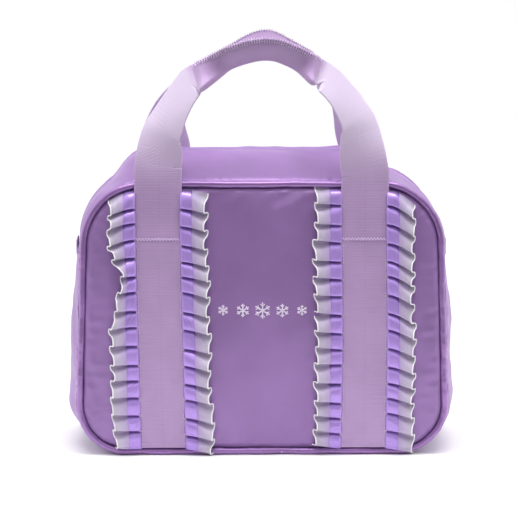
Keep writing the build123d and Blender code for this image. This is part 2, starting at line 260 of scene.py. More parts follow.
def beads(name, centres, ways, ups, size, material):
    """Many small rounded bars: each has a centre, a long direction, an upward direction and half sizes."""
    turn = np.arange(8) * math.pi / 4
    rings = [(-1.0, 0.35), (-0.72, 0.85), (0.0, 1.0), (0.72, 0.85), (1.0, 0.35)]
    unit = np.array([[a, r * math.cos(t), r * math.sin(t)] for a, r in rings for t in turn])
    quads = grid_faces(len(rings), 8, False, True)
    caps = [list(range(8)), list(range(len(rings) * 8 - 8, len(rings) * 8))[::-1]]
    ways = ways / np.linalg.norm(ways, axis=1, keepdims=True)
    side = np.cross(ways, ups)
    side /= np.linalg.norm(side, axis=1, keepdims=True)
    ups = np.cross(side, ways)
    verts = centres[:, None] + sum(
        unit[None, :, k:k + 1] * size[k] * axis[:, None] for k, axis in enumerate((ways, side, ups))
    )
    faces = []
    for k in range(len(centres)):
        offset = k * len(unit)
        faces += (quads[:, ::-1] + offset).tolist() + [[i + offset for i in cap] for cap in caps]
    return link(name, new_mesh(name, verts.reshape(-1, 3), faces, None, material))


# ---- materials


class Shader:
    """A material and short ways to add and join its nodes."""

    def __init__(self, name):
        self.material = bpy.data.materials.new(name)
        self.material.use_nodes = True
        self.tree = self.material.node_tree
        self.surface = next(n for n in self.tree.nodes if n.type == "BSDF_PRINCIPLED")

    def node(self, kind, inputs=None, **settings):
        made = self.tree.nodes.new("ShaderNode" + kind)
        for key, value in settings.items():
            setattr(made, key, value)
        for key, value in (inputs or {}).items():
            if hasattr(value, "is_linked"):
                self.tree.links.new(value, made.inputs[key])
            else:
                made.inputs[key].default_value = value
        return made

    def math(self, operation, a, b=0.0):
        return self.node("Math", {0: a, 1: b}, operation=operation).outputs[0]

    def times(self, a, b):
        return self.math("MULTIPLY", a, b)

    def wave(self, place, pitch):
        return self.math("SINE", self.times(place, 2 * math.pi / pitch))

    def set(self, **values):
        for key, value in values.items():
            socket = self.surface.inputs[key.replace("_", " ")]
            if hasattr(value, "is_linked"):
                self.tree.links.new(value, socket)
            else:
                socket.default_value = value

    def scaled(self, x, y, z=1.0, source="UV"):
        """Texture coordinates in metres, stretched."""
        where = self.node("TexCoord").outputs[source]
        return self.node("Mapping", {"Vector": where, "Scale": (x, y, z)}).outputs[0]

    def noise(self, vector, scale=1.0, detail=2.0, rough=0.5):
        kind = {"Vector": vector, "Scale": scale, "Detail": detail, "Roughness": rough}
        return self.node("TexNoise", kind).outputs["Fac"]

    def mix(self, factor, a, b):
        made = self.node("Mix", data_type="RGBA")
        for key, value in ((0, factor), (6, a), (7, b)):
            if hasattr(value, "is_linked"):
                self.tree.links.new(value, made.inputs[key])
            else:
                made.inputs[key].default_value = value
        return made.outputs[2]

    def spread(self, value, low, high, to_low=0.0, to_high=1.0):
        kind = {"Value": value, "From Min": low, "From Max": high, "To Min": to_low, "To Max": to_high}
        return self.node("MapRange", kind).outputs[0]

    def bump(self, height, distance, strength=1.0, below=None):
        kind = {"Height": height, "Distance": distance, "Strength": strength}
        if below is not None:
            kind["Normal"] = below
        return self.node("Bump", kind).outputs[0]


def shade(colour, factor):
    return tuple(min(c * factor, 1) for c in colour[:3]) + (1,)


def satin(name, colour, roughness, gloss, fold=False):
    """Woven satin: floating threads, soft sheen and slightly uneven colour, with painted shade in the hollows
    of its pleats if asked.
    """
    s = Shader(name)
    floats = s.noise(s.scaled(1500, 250), detail=1.0)
    cloud = s.noise(s.scaled(16, 12), detail=3.0)
    slub = s.noise(s.scaled(90, 900), detail=2.0)
    base = s.mix(s.spread(cloud, 0.3, 0.7), shade(colour, 0.90), shade(colour, 1.10))
    base = s.mix(s.spread(floats, 0.2, 0.8, 0.0, 0.18), base, shade(colour, 1.25))
    if fold:
        # painted shade: the satin is darkened towards the back of each pleat, where the hollows between
        # pleats lie in shade
        inside = s.node("Attribute", attribute_name="fold").outputs["Fac"]
        base = s.mix(s.spread(inside, 0.05, 0.75, 0.75, 0.0), base, shade(colour, 0.25))
    slub_rough = s.spread(slub, 0.3, 0.7, roughness - 0.04, roughness + 0.04)
    rough = s.math("ADD", s.spread(cloud, 0.3, 0.7, -0.03, 0.03), slub_rough)
    normal = s.bump(floats, 0.03 * MM, 0.5)
    normal = s.bump(slub, 0.04 * MM, 0.4, normal)
    s.set(Base_Color=base, Roughness=rough, Normal=normal, Metallic=gloss, Anisotropic=0.35)
    s.set(Sheen_Weight=0.15, Sheen_Roughness=0.35, Sheen_Tint=shade(colour, 2.0))
    return s.material


def webbing_material(name, colour):
    """Ribbed nylon webbing. U runs across from the middle, V along it, both in metres."""
    s = Shader(name)
    where = s.node("SeparateXYZ", {0: s.node("TexCoord").outputs["UV"]})
    across, along = where.outputs[0], where.outputs[1]
    rib, warp = s.wave(along, 1.55 * MM), s.wave(across, 0.9 * MM)
    broken = s.noise(s.scaled(45, 640), detail=3.0)
    cloud = s.noise(s.scaled(30, 22), detail=2.0)
    off_middle = s.math("ABSOLUTE", across)
    middle = s.spread(off_middle, 0.3 * MM, 1.3 * MM, 1.0, 0.0)
    line = s.times(middle, s.spread(s.wave(along, 3.4 * MM), -0.2, 0.8))
    edge = s.spread(off_middle, WEB_HALF - 1.9 * MM, WEB_HALF - 0.6 * MM)
    base = s.mix(s.spread(cloud, 0.3, 0.7), shade(colour, 0.95), shade(colour, 1.05))
    base = s.mix(s.spread(broken, 0.55, 0.8, 0.0, 0.30), base, shade(colour, 0.72))
    base = s.mix(s.spread(rib, -1, 1, 0.10, 0.0), base, shade(colour, 0.6))
    base = s.mix(s.times(line, 0.22), base, shade(colour, 0.66))
    base = s.mix(s.times(edge, 0.5), base, shade(colour, 1.28))
    rung = s.spread(s.wave(along, 4.7 * MM), 0.80, 1.0)
    faint = s.spread(s.noise(s.scaled(25, 60), detail=1.0), 0.42, 0.6)
    on_left = s.spread(across, -0.5 * MM, 0.5 * MM, 1.0, 0.25)
    inside = s.times(faint, s.spread(edge, 0.0, 1.0, 1.0, 0.0))
    rung = s.times(s.times(rung, on_left), inside)
    base = s.mix(s.times(rung, 0.22), base, shade(colour, 0.62))
    # painted light: the upright legs get a painted highlight where they face the light from above, and the
    # grip gets a painted shade where it faces down
    leg_highlight = s.node("Attribute", attribute_name="leg_highlight").outputs["Fac"]
    grip_shade = s.node("Attribute", attribute_name="grip_shade").outputs["Fac"]
    base = s.mix(s.times(leg_highlight, 0.60), base, LEG_HIGHLIGHT)
    base = s.mix(s.times(grip_shade, 0.17), base, GRIP_SHADE)
    normal = s.bump(rib, 0.10 * MM, 0.55)
    normal = s.bump(warp, 0.04 * MM, 0.3, normal)
    normal = s.bump(broken, 0.10 * MM, 0.5, normal)
    normal = s.bump(line, -0.15 * MM, 0.6, normal)
    normal = s.bump(rung, -0.20 * MM, 0.6, normal)
    rough = s.spread(broken, 0.3, 0.8, 0.34, 0.46)
    s.set(Base_Color=base, Roughness=rough, Normal=normal, Metallic=0.1)
    s.set(Sheen_Weight=0.5, Sheen_Roughness=0.35, Sheen_Tint=(1, 1, 1, 1))
    return s.material


def plain_weave(s, pitch):
    """The place across a cloth, and the height of its crossing threads."""
    where = s.node("SeparateXYZ", {0: s.node("TexCoord").outputs["UV"]})
    across, along = where.outputs[0], where.outputs[1]
    return across, s.times(s.wave(across, pitch), s.wave(along, pitch))


def weave(name, colour, pitch, roughness):
    """Plain woven cloth or tape."""
    s = Shader(name)
    _, over = plain_weave(s, pitch)
    cloud = s.noise(s.scaled(60, 60), detail=3.0)
    base = s.mix(s.spread(cloud, 0.3, 0.7), shade(colour, 0.92), shade(colour, 1.08))
    base = s.mix(s.spread(over, -1, 1, 0.12, 0.0), base, shade(colour, 0.6))
    s.set(Base_Color=base, Normal=s.bump(over, 0.06 * MM, 0.5))
    s.set(Roughness=s.spread(cloud, 0.3, 0.7, roughness - 0.05, roughness + 0.05))
    s.set(Sheen_Weight=0.2, Sheen_Roughness=0.5)
    return s.material


def sheer(name, near, far):
    """Organza: lilac and fuller beside the satin, paler and clearer towards its hem."""
    s = Shader(name)
    across, over = plain_weave(s, 0.45 * MM)
    out = s.spread(across, SATIN_SHARE * RUFFLE_W, RUFFLE_W * 0.9)
    cloud = s.noise(s.scaled(60, 60), detail=3.0)
    inside = s.node("Attribute", attribute_name="fold").outputs["Fac"]
    base = s.mix(out, near, far)
    base = s.mix(s.spread(cloud, 0.3, 0.7, 0.0, 0.12), base, shade(near, 0.8))
    # painted shade: the organza is darkened towards the back of each pleat, where the hollows between pleats
    # lie in shade
    base = s.mix(s.spread(inside, 0.0, 0.7, 0.42, 0.0), base, shade(near, 0.45))
    clear = s.math("ADD", s.spread(out, 0.0, 1.0, 0.85, 0.62), s.spread(cloud, 0.3, 0.7, -0.06, 0.06))
    s.set(Base_Color=base, Normal=s.bump(over, 0.05 * MM, 0.5), Roughness=0.45, Alpha=clear)
    s.set(Sheen_Weight=0.4, Sheen_Roughness=0.4)
    return s.material


def thread_material(name, colour):
    """Twisted shiny thread."""
    s = Shader(name)
    twist = s.noise(s.scaled(900, 2400, 900, "Object"), detail=1.0)
    base = s.mix(s.spread(twist, 0.3, 0.7), shade(colour, 0.82), shade(colour, 1.12))
    s.set(Base_Color=base, Roughness=0.42, Normal=s.bump(twist, 0.05 * MM, 0.6))
    s.set(Sheen_Weight=0.35, Sheen_Roughness=0.35)
    return s.material


def enamel(name, colour):
    """Lightly worn enamel on zinc."""
    s = Shader(name)
    worn = s.noise(s.scaled(420, 420, 420, "Object"), detail=4.0)
    base = s.mix(s.spread(worn, 0.35, 0.65), shade(colour, 0.9), shade(colour, 1.1))
    s.set(Base_Color=base, Roughness=s.spread(worn, 0.3, 0.7, 0.22, 0.34), Metallic=0.35)
    s.set(Coat_Weight=0.5, Coat_Roughness=0.15, Normal=s.bump(worn, 0.02 * MM, 0.3))
    return s.material


def moulded(name, colour, roughness):
    """Moulded or extruded plastic with a fine grain."""
    s = Shader(name)
    grain = s.noise(s.scaled(1400, 1400, 1400, "Object"), detail=2.0)
    base = s.mix(s.spread(grain, 0.3, 0.7), shade(colour, 0.94), shade(colour, 1.06))
    s.set(Base_Color=base, Roughness=s.spread(grain, 0.3, 0.7, roughness - 0.05, roughness + 0.05))
    s.set(Normal=s.bump(grain, 0.03 * MM, 0.4))
    return s.material


LILAC = srgb(150, 115, 173)
PANEL = satin("panel_satin", LILAC, roughness=0.40, gloss=0.25)
PIPING = satin("piping_satin", srgb(158, 120, 180), roughness=0.32, gloss=0.5)
RUFFLE = satin("ruffle_satin", srgb(182, 148, 226), roughness=0.30, gloss=0.3, fold=True)
LINING = weave("lining_cloth", srgb(104, 82, 124), 0.5 * MM, 0.6)
BINDING = weave("binding_tape", srgb(120, 96, 142), 0.8 * MM, 0.65)
LEG_HIGHLIGHT = srgb(226, 216, 234)  # painted highlight: the handle's legs are painted lighter where they face the light from above
GRIP_SHADE = srgb(116, 78, 138)  # painted shade: the grip is painted darker where it faces down, away from the light
WEBBING = webbing_material("ribbed_webbing", srgb(184, 153, 198))
THREAD = thread_material("sewing_thread", srgb(222, 200, 234))
MOTIF = thread_material("embroidery_thread", srgb(230, 217, 239))
ORGANZA = sheer("organza", srgb(196, 172, 222), srgb(226, 218, 234))
HEM = thread_material("rolled_hem", srgb(250, 247, 253))
TAPE = weave("zip_tape_cloth", srgb(140, 108, 166), 0.6 * MM, 0.6)
COIL = moulded("zip_coil_nylon", srgb(156, 122, 184), 0.35)
METAL = enamel("zip_enamel", srgb(160, 130, 186))
CORD = thread_material("piping_cord_cotton", srgb(226, 224, 216))
BOARD = moulded("base_board_plastic", srgb(52, 50, 56), 0.5)


# ---- outline


def outline_path(step=1.5 * MM):
    """Points and outward normals round the outline in X and Z, from the middle of the base."""
    bx, bz = BASE_CENTRE
    tx, tz = TOP_CENTRE
    side = np.array([math.cos(TILT), math.sin(TILT)])
    low, high = np.array([bx, bz]) + BASE_R * side, np.array([tx, tz]) + TOP_R * side
    runs = []

    def straight(a, b, n):
        count = max(2, int(np.linalg.norm(np.subtract(b, a)) / step))
        t = np.arange(count)[:, None] / count
        runs.append((np.array(a) + t * np.subtract(b, a), np.tile(n, (count, 1))))

    def arc(c, r, a0, a1):
        count = max(2, int(r * abs(a1 - a0) / step))
        a = a0 + (a1 - a0) * np.arange(count) / count
        n = np.stack([np.cos(a), np.sin(a)], 1)
        runs.append((np.array(c) + r * n, n))

    straight((0, 0), (bx, 0), (0, -1))
    arc((bx, bz), BASE_R, -math.pi / 2, TILT)
    straight(low, high, side)
    arc((tx, tz), TOP_R, TILT, math.pi / 2)
    straight((tx, BODY_TOP), (0, BODY_TOP), (0, 1))
    tops = np.array([[0, BODY_TOP]]), np.array([[0, 1.0]])
    rights = [np.concatenate([run[k] for run in runs]) for k in (0, 1)]
    return tuple(np.concatenate([right, top, right[:0:-1] * (-1, 1)]) for right, top in zip(rights, tops))


OUTLINE, OUTWARD = outline_path()
AROUND = np.linalg.norm(np.diff(OUTLINE, axis=0, prepend=OUTLINE[-1:]), axis=1).cumsum()


def slack(around, face):
    """How far the seam is pulled inwards here and there."""
    seed = 3 if face < 0 else 8
    long, short = ripple(around, 0 * around, 70 * MM, seed), ripple(around, 0 * around, 24 * MM, seed + 1)
    return np.clip(long * 0.45 + short * 0.22 + 0.35, 0, 2) * MM


def half_width(z, inset):
    """Half the outline's width at a height, moved inwards by inset."""
    bx, bz = BASE_CENTRE
    tx, tz = TOP_CENTRE
    side = (BASE_HALF * math.cos(TILT) - inset - z * math.sin(TILT)) / math.cos(TILT)
    low_r, high_r = BASE_R - inset, TOP_R - inset
    low = bx + np.sqrt(np.maximum(low_r**2 - (bz - z) ** 2, 0))
    high = tx + np.sqrt(np.maximum(high_r**2 - (z - tz) ** 2, 0))
    low_end = bz + low_r * math.sin(TILT)
    high_start = tz + high_r * math.sin(TILT)
    return np.where(z < low_end, low, np.where(z > high_start, high, side))


def edge_distance(x, z):
    """Distance inwards from the panel's seam, and the place round the outline nearest to each point."""
    shape = x.shape
    flat = np.stack([x.ravel(), z.ravel()], 1)
    best = np.full(len(flat), np.inf)
    place = np.zeros(len(flat))
    for start in range(0, len(flat), 4000):
        gap = np.linalg.norm(flat[start:start + 4000, None] - OUTLINE[None], axis=2)
        near = gap.argmin(1)
        best[start:start + 4000] = gap[np.arange(len(gap)), near]
        place[start:start + 4000] = AROUND[near]
    return (best - PANEL_INSET).reshape(shape), place.reshape(shape)


# ---- straps


def strap_x(side, z):
    """Centre line of a front strap: side is -1 on the left and 1 on the right."""
    z = np.clip(z, 0, HINGE_Z)
    left = -100.8 * MM - 5.0 * MM * z / HINGE_Z
    right = 102.8 * MM + 1.2 * MM * np.sin(math.pi * z / HINGE_Z)
    return left if side < 0 else right


# ---- panels


class Panel:
    """A padded panel. Its outer surface is a grid of distances from the middle of the bag."""

    def __init__(self, face):
        self.face = face
        turn = np.linspace(0, math.pi, 150)
        low, high = PANEL_INSET, BODY_TOP - PANEL_INSET
        even = np.linspace(0, 1, 150)
        blend = 0.55 * (1 - np.cos(turn)) / 2 + 0.45 * even
        self.z = low + (high - low) * blend
        self.s = np.sin(np.linspace(-1, 1, 181) * math.pi / 2) * 0.35 + np.linspace(-1, 1, 181) * 0.65
        self.width = half_width(self.z, PANEL_INSET)
        self.x = self.s[None] * self.width[:, None]
        self.zz = np.broadcast_to(self.z[:, None], self.x.shape)
        self.out = self.height()

    def height(self):
        """Puffed surface: rolled edges, straps that hold the padding down, puckers and soft folds."""
        x, z, seed = self.x, self.zz, 20 if self.face < 0 else 60
        gap, place = edge_distance(x, z)
        gap = np.maximum(gap, 0)
        roll = 3.2 * MM * (1 - np.exp(-gap / (1.5 * MM))) + 3.4 * MM * (1 - np.exp(-gap / (8 * MM)))
        barrel = np.sin(math.pi * np.clip(z / BODY_TOP, 0, 1))
        middle = 5.0 * MM * smooth((84 * MM - np.abs(x)) / (64 * MM)) * barrel
        outer = 2.6 * MM * smooth((np.abs(x) - 128 * MM) / (30 * MM)) * smooth(gap / (30 * MM)) * barrel
        pucker = ripple(place, 0.6 * gap, 15 * MM, seed) * np.exp(-gap / (16 * MM)) * smooth(gap / (5 * MM))
        folds = ripple(x, 0.45 * z, 90 * MM, seed + 1) * 0.7 + ripple(x * 0.8, z, 46 * MM, seed + 2) * 0.22
        held = 1 - smooth(1 - (np.abs(np.abs(x) - 103.5 * MM) - 22 * MM) / (14 * MM))
        free = smooth(gap / (25 * MM)) * (0.25 + 0.75 * held)
        seam = -0.5 * MM * np.exp(-((gap - 3.2 * MM) / (0.9 * MM)) ** 2)
        creases = (0.55 * pucker + 0.8 * folds * free) * MM
        return PIPING_OUT - 3.2 * MM + roll + 3.2 * MM * barrel + (middle + outer) * free + creases + seam

    def at(self, x, z):
        """Distance of the outer surface from the middle of the bag, at any place on the panel."""
        x, z = np.broadcast_arrays(np.asarray(x, float), np.asarray(z, float))
        width = np.interp(z, self.z, self.width)
        s = np.clip(x / width, -1, 1)
        row = np.clip(np.interp(z, self.z, np.arange(len(self.z))), 0, len(self.z) - 1.001)
        col = np.clip(np.interp(s, self.s, np.arange(len(self.s))), 0, len(self.s) - 1.001)
        i, j = row.astype(int), col.astype(int)
        a, b = row - i, col - j
        g = self.out
        top = g[i, j] * (1 - b) + g[i, j + 1] * b
        low = g[i + 1, j] * (1 - b) + g[i + 1, j + 1] * b
        return top * (1 - a) + low * a

    def under_strap(self, x, z):
        """The same under a strap, which bridges the panel's hollows."""
        return np.maximum(self.at(x, z), PANEL_OUT - 0.6 * MM)

    def points(self, out):
        return np.stack([self.x, self.face * out, self.zz], axis=-1)


def build_panel(panel, name):
    """The padded satin panel and its lining."""
    uvs = np.stack([panel.x, panel.zz], axis=-1)
    inner = np.full(panel.x.shape, LINING_OUT + 1.1 * MM)
    outer, inner = panel.points(panel.out), panel.points(inner)
    if panel.face > 0:
        outer, inner, uvs = outer[:, ::-1], inner[:, ::-1], uvs[:, ::-1]
    pad = shell(f"{name}_panel_pad", outer, inner, uvs, PANEL)
    register(pad, "bag_body", "panel_satin", f"{name}_panel_shell", f"{name}_panel_foam")
    smaller = 0.985
    x = panel.x[::3, ::3] * smaller
    z = BODY_TOP / 2 + (panel.zz[::3, ::3] - BODY_TOP / 2) * smaller
    sag = (ripple(x, 0.7 * z, 42 * MM, 31) + 1.6).clip(0, 3) * 0.35 * MM
    cloth = np.stack([x, panel.face * (LINING_OUT + 0.6 * MM - sag), z], axis=-1)
    if panel.face > 0:
        cloth = cloth[:, ::-1]
    lining = cloth_sheet(f"{name}_panel_lining_cloth", cloth, 0.4 * MM, np.stack([x, z], -1), LINING)
    register(lining, "bag_body", "lining", f"{name}_panel_lining")


# ---- piping and bindings


def ring_path(inset, out, face, wobble):
    """A path round the outline at an inset and a distance from the middle of the bag."""
    flat = OUTLINE - OUTWARD * (inset + slack(AROUND, face) * wobble)[:, None]
    return np.stack([flat[:, 0], np.broadcast_to(face * out, (len(flat),)), flat[:, 1]], axis=1)


def build_piping(face, name):
    wave = ripple(AROUND, 0 * AROUND, 30 * MM, 12 + face) * 0.35 * MM
    path = ring_path(PIPING_INSET, PIPING_OUT + wave, face, 0.6)
    plump = PIPING_R * (1 + 0.045 * ripple(AROUND, 0 * AROUND, 7 * MM, 40 + face))
    cover = tube_piece(f"{name}_piping_satin", path, plump, PIPING, sides=16, closed=True)
    register(cover, "bag_body", "piping_satin", f"{name}_piping_cover")
    inner = ring_path(11.1 * MM, LINING_OUT - 1.8 * MM, face, 0)[::2]
    bound = tube_piece(f"{name}_binding_tape", inner, 2.5 * MM, BINDING, sides=12, closed=True, squash=0.55)
    register(bound, "bag_body", "lining", f"{name}_seam_binding")


# ---- gussets


def build_lower_gusset():
    """The strip round the base and up both sides, with its lining."""
    keep = OUTLINE[:, 1] < ZIP_END_Z - 0.4 * MM
    on_left = OUTLINE[:, 0] < 0
    order = np.concatenate([np.where(keep & on_left)[0], np.where(keep & ~on_left)[0]])[::2]
    base, normal, place = OUTLINE[order], OUTWARD[order], AROUND[order]
    across = np.sin(np.linspace(-1, 1, 49) * math.pi / 2 * 0.92) / math.sin(math.pi / 2 * 0.92)
    y = across * GUSSET_OUT
    held_by_zip = 1 - 0.45 * smooth((base[:, 1] - 120 * MM) / (90 * MM))
    upright = smooth((base[:, 1] - 2 * MM) / (50 * MM)) * held_by_zip
    crown = 1 - np.abs(across) ** 2.6
    puff = np.where(base[:, 0] < 0, 10.0, 9.0) * MM
    swell = (puff * upright)[:, None] * crown[None]
    pp, yy = np.meshgrid(place, y, indexing="ij")
    soft = ripple(pp * 0.7, yy, 60 * MM, 71) * 1.0 + ripple(pp, yy * 0.5, 24 * MM, 72) * 0.35
    pucker = ripple(pp, yy * 0.2, 11 * MM, 73) * np.exp(-(GUSSET_OUT - np.abs(yy)) / (10 * MM)) * 0.5
    fade = smooth((GUSSET_OUT - np.abs(yy)) / (16 * MM))
    out = swell + (soft * fade + pucker) * MM * (0.15 + 0.85 * upright[:, None])
    flat = 1 - smooth((base[:, 1] - 0.5 * MM) / (30 * MM))
    out = np.where(flat[:, None] > 0, np.minimum(out, (1 - flat[:, None]) * out), out)
    out = out - 0.4 * MM * np.exp(-((base[:, 1:2] - ZIP_END_Z) / (2.5 * MM)) ** 2)

    def layer(depth):
        """The gusset's surface moved inwards by a depth."""
        flat_points = base[:, None] + normal[:, None] * (out - depth)[..., None]
        return np.stack([flat_points[..., 0], yy, flat_points[..., 1]], axis=-1)

    outer = layer(0.0)
    outer[..., 2] = np.maximum(outer[..., 2], 0)
    uvs = np.stack([pp, yy], axis=-1)
    pad = shell("lower_gusset_pad", outer, layer(5.0 * MM), uvs, PANEL)
    register(pad, "bag_body", "panel_satin", "lower_gusset_shell", "lower_gusset_foam")
    cloth = layer(5.7 * MM)[::2, ::2]
    lining = cloth_sheet("lower_gusset_lining_cloth", cloth, 0.4 * MM, uvs[::2, ::2], LINING)
    register(lining, "bag_body", "lining", "lower_gusset_lining")


class Top:
    """The zipped top as a run of stations from the left zip end, over the ridge, to the right zip end."""

    def __init__(self):
        tx, tz = TOP_CENTRE
        bend = math.pi / 2 - TILT
        drop = (tz + TOP_R * math.sin(TILT) - ZIP_END_Z) / math.cos(TILT)
        side = np.linspace(drop, 0, 12, endpoint=False)
        turn = np.linspace(bend, 0, 56, endpoint=False)
        flat = np.linspace(-tx, -FLAP_END, 8, endpoint=False)
        half = np.linspace(-FLAP_END, 0, 70)
        cx = np.concatenate([-tx - side * math.sin(TILT), -tx + 0 * turn, flat, half])
        cz = np.concatenate([tz - side * math.cos(TILT), tz + 0 * turn, tz + 0 * flat, tz + 0 * half])
        angle = -np.concatenate([bend + 0 * side, turn, 0 * flat, 0 * half])
        self.cx = np.concatenate([cx, -cx[-2::-1]])
        self.cz = np.concatenate([cz, cz[-2::-1]])
        self.angle = np.concatenate([angle, -angle[-2::-1]])
        degrees = np.degrees(np.abs(self.angle))
        left = RIDGE_R + (SIDE_RIDGE_R - RIDGE_R) * smooth(degrees / 34)
        sunk = RIDGE_R + (SUNK_RIDGE_R - RIDGE_R) * smooth(degrees / 17)
        back_up = (SIDE_RIDGE_R - SUNK_RIDGE_R) * smooth((degrees - 40) / 40)
        self.ridge = np.where(self.angle <= 0, left, sunk + back_up)
        outwards = np.stack([np.sin(self.angle), np.cos(self.angle)], 1)
        mid = np.stack([self.cx, self.cz], 1) + outwards * self.ridge[:, None]
        self.along = np.linalg.norm(np.diff(mid, axis=0, prepend=mid[:1]), axis=1).cumsum()

    def point(self, rows, y, depth):
        """Points at distances y across the dome and depths below its surface."""
        ridge = self.ridge[rows][:, None]
        up = DOME_LOW_R + (ridge - DOME_LOW_R) * (1 - np.abs(y / DOME_EDGE) ** 2.15) - depth
        sin, cos = np.sin(self.angle[rows])[:, None], np.cos(self.angle[rows])[:, None]
        x = self.cx[rows][:, None] + sin * up
        z = self.cz[rows][:, None] + cos * up
        return np.stack(np.broadcast_arrays(x, y, z), axis=-1)

    def part(self, which):
        """Station numbers of one stretch, with its end stations shared with its neighbours."""
        left_end = int(np.argmin(np.abs(self.cx + FLAP_END) + np.abs(self.angle)))
        right_end = len(self.cx) - 1 - left_end
        ends = {"corner_left": (0, left_end), "flap": (left_end, right_end)}
        first, last = ends.get(which, (right_end, len(self.cx) - 1))
        return np.arange(first, last + 1)


TOP = Top()


def top_folds(along, y):
    """Soft creases of the domed cloth."""
    fade = smooth((DOME_EDGE - np.abs(y)) / (22 * MM)) * smooth((np.abs(y) - STRIP_EDGE) / (16 * MM))
    big = ripple(along * 0.9, y * 0.55, 70 * MM, 91) * 1.0 + ripple(along, 0.8 * y, 30 * MM, 92) * 0.35
    pucker = ripple(along, 0.15 * y, 10 * MM, 93) * np.exp(-(DOME_EDGE - np.abs(y)) / (9 * MM)) * 0.4
    return (big * fade + pucker) * MM


def follow(piece, which, face):
    """A flap piece rides on its flap and opens whole; a corner piece only has its transform baked in, and
    does not stretch.
    """
    flap = "front_flap" if face < 0 else "back_flap"
    if which == "flap":
        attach(piece, flap)
        return
    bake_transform(piece)


def build_top(face, which):
    """Satin, zip tape and half of the zip's coil along one stretch of one side of the zip, with lining under
    a flap.
    """
    side = "front" if face < 0 else "back"
    rows = TOP.part(which)
    name = f"{side}_{which}"
    across = 1 - np.sin(np.linspace(0, 1, 34) * math.pi / 2) ** 1.2
    y = face * (STRIP_EDGE + (DOME_EDGE - STRIP_EDGE) * across)[None]
    y = y[:, ::-1] if face > 0 else y
    along = TOP.along[rows][:, None]
    lift = top_folds(along, y + 0 * along)
    edge = 0.9 * MM * np.exp(-((np.abs(y) - STRIP_EDGE) / (1.3 * MM)) ** 2)
    stitch = 0.45 * MM * np.exp(-((np.abs(y) - STRIP_EDGE - 5 * MM) / (0.9 * MM)) ** 2)
    stitch = stitch + 2.4 * MM * np.exp(-(DOME_EDGE - np.abs(y)) / (1.6 * MM))
    outer = TOP.point(rows, y, edge + stitch - lift)
    inner = TOP.point(rows, y, STRIP_THICK + 0 * along)
    uvs = np.stack(np.broadcast_arrays(along, y), axis=-1)
    pad = shell(f"{name}_pad", outer, inner, uvs, PANEL)
    follow(pad, which, face)
    tape_y = face * np.linspace(21.0 * MM, 3.7 * MM, 12)[None]
    tape_y = tape_y[:, ::-1] if face > 0 else tape_y
    under_pad = 1.0 * MM * smooth((np.abs(tape_y) - 7 * MM) / (5 * MM))
    tape_points = TOP.point(rows, tape_y, 1.7 * MM + under_pad + 0 * along)
    tape_uvs = np.stack(np.broadcast_arrays(along, tape_y), axis=-1)
    tape = cloth_sheet(f"{name}_zip_tape_cloth", tape_points, 0.7 * MM, tape_uvs, TAPE)
    follow(tape, which, face)
    length = float(TOP.along[rows[-1]] - TOP.along[rows[0]])
    pitch = 1.7 * MM
    first = TOP.along[rows[0]]
    at = first + (np.arange(int(length / pitch)) + (0.25 if face < 0 else 0.75)) * pitch
    ridge = TOP.point(rows, np.array([[0.0]]), 1.5 * MM + 0 * along)[:, 0]
    place = np.stack([np.interp(at, TOP.along[rows], ridge[:, k]) for k in range(3)], 1)
    ways = np.tile((0.0, face, 0.0), (len(at), 1))
    angle = np.interp(at, TOP.along[rows], TOP.angle[rows])
    ups = np.stack([np.sin(angle), 0 * angle, np.cos(angle)], 1)
    place[:, 1] = face * 1.75 * MM
    coil = beads(f"{name}_zip_teeth", place, ways, ups, (1.75 * MM, 0.62 * MM, 0.95 * MM), COIL)
    follow(coil, which, face)
    if which == "flap":
        lining_y = face * (STRIP_EDGE + 1 * MM + (DOME_EDGE - STRIP_EDGE - 3 * MM) * across[::2])[None]
        lining_y = lining_y[:, ::-1] if face > 0 else lining_y
        under = TOP.point(rows[::2], lining_y, 4.7 * MM + 0 * along[::2])
        under_uvs = np.stack(np.broadcast_arrays(along[::2], lining_y), axis=-1)
        lining = cloth_sheet(f"{name}_lining_cloth", under, 0.4 * MM, under_uvs, LINING)
        follow(lining, which, face)
        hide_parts(f"{side}_flap_shell", f"{side}_flap_foam")
        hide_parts(f"{side}_flap_lining")
        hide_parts(f"{side}_flap_zip_tape")
        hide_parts(f"{side}_flap_zip_coil")
    else:
        end = which.split("_")[1]
        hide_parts(f"zip_corner_{side}_{end}")
        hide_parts(f"zip_tape_{end}")
        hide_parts(f"zip_coil_{end}")


def build_end_tab(way):
    """The folded tab over a zip end."""
    low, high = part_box("zip_end_tab_right")
    x, z = (low.x + high.x) / 2, (low.z + high.z) / 2
    half_y, half_z = (high.y - low.y) / 2, (high.z - low.z) / 2
    a, b = np.meshgrid(np.linspace(-1, 1, 15), np.linspace(-1, 1, 13), indexing="ij")
    round_off = 1 - 0.10 * (np.abs(a) ** 6 * np.abs(b) ** 6)
    on_stitch = np.abs(np.maximum(np.abs(a), np.abs(b)) - 0.78) < 0.06
    puff = 0.9 * MM * (1 - a**6) * (1 - b**6) - 0.35 * MM * on_stitch
    y, up = a * half_y * round_off, b * half_z * round_off
    outer = np.stack([way * (x + 0.2 * MM + puff), y, z + up], -1)
    inner = np.stack([way * (x - 0.9 * MM + 0 * a), y, z + up], -1)
    if way < 0:
        outer, inner = outer[:, ::-1], inner[:, ::-1]
    uvs = np.stack([a * half_y, b * half_z], -1)
    name = "right" if way > 0 else "left"
    tab = shell(f"zip_tab_{name}_satin", outer, inner, uvs, PANEL)
    register(tab, "bag_body", "panel_satin", f"zip_end_tab_{name}")


# ---- webbing


